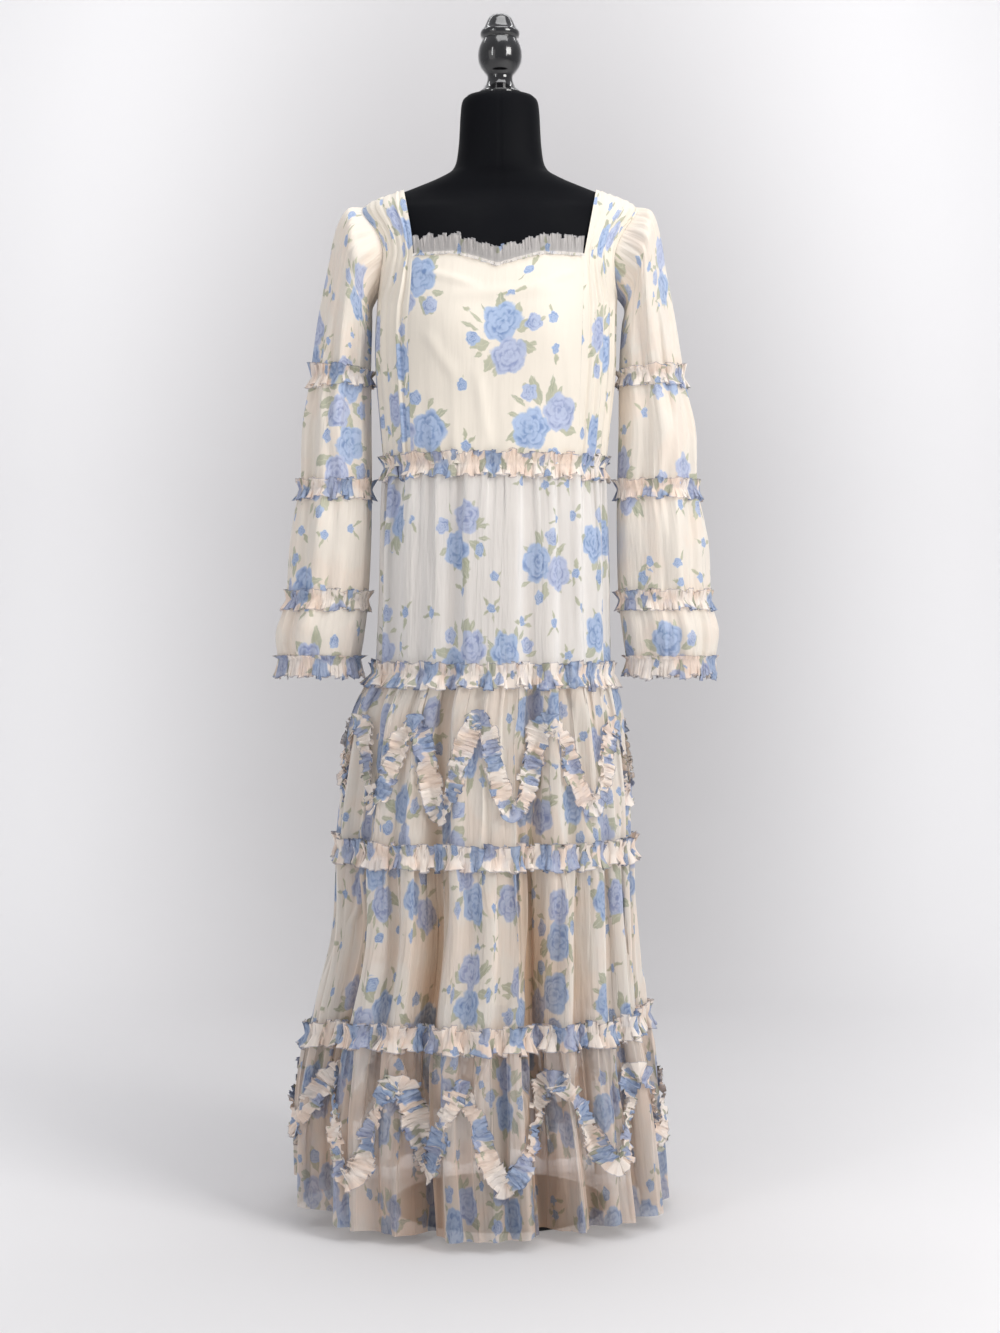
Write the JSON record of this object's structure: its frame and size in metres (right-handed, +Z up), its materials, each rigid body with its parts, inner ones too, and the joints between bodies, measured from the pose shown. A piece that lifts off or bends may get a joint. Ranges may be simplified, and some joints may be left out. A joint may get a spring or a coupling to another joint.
{
  "type": "maxi dress on dress form",
  "caption": "Tiered maxi dress with a square neck, long tiered sleeves and frilled seams, standing open and worn on a limbless dress form with a pole and a round base.",
  "frame": {"origin": "on the floor under the centre of the round base, at its underside", "axes": "+Z up along the pole, -Y the way the dress faces, +X the wearer's left"},
  "size_m": [0.632, 0.4899, 1.665],
  "materials": {
    "mesh_print": "printed mesh over a lining",
    "ruffle_mesh": "printed mesh, gathered",
    "lining_cloth": "smooth woven",
    "form_cloth": "stretched jersey",
    "lacquer": "gloss lacquer",
    "stand_metal": "satin black"
  },
  "bodies": {
    "root": {"bodice_front": "mesh_print", "bodice_side_front_left": "mesh_print", "bodice_side_front_right": "mesh_print", "bodice_back": "mesh_print", "neck_ruffle": "ruffle_mesh", "waist_ruffle": "ruffle_mesh", "skirt_tier_1": "mesh_print", "skirt_tier_2": "mesh_print", "skirt_tier_3": "mesh_print", "skirt_tier_4": "mesh_print", "skirt_ruffle_1": "ruffle_mesh", "skirt_ruffle_2": "ruffle_mesh", "skirt_ruffle_3": "ruffle_mesh", "scalloped_ruffle_upper": "ruffle_mesh", "scalloped_ruffle_lower": "ruffle_mesh", "skirt_lining": "lining_cloth", "sleeve_left_1": "mesh_print", "sleeve_left_2": "mesh_print", "sleeve_left_3": "mesh_print", "sleeve_left_4": "mesh_print", "sleeve_left_ruffle_1": "ruffle_mesh", "sleeve_left_ruffle_2": "ruffle_mesh", "sleeve_left_ruffle_3": "ruffle_mesh", "cuff_left_ruffle": "ruffle_mesh", "sleeve_right_1": "mesh_print", "sleeve_right_2": "mesh_print", "sleeve_right_3": "mesh_print", "sleeve_right_4": "mesh_print", "sleeve_right_ruffle_1": "ruffle_mesh", "sleeve_right_ruffle_2": "ruffle_mesh", "sleeve_right_ruffle_3": "ruffle_mesh", "cuff_right_ruffle": "ruffle_mesh", "form_torso": "form_cloth", "form_finial": "lacquer", "form_underplate": "lacquer", "stand_pole": "stand_metal", "stand_socket": "stand_metal", "stand_base": "stand_metal"}
  },
  "joints": []
}
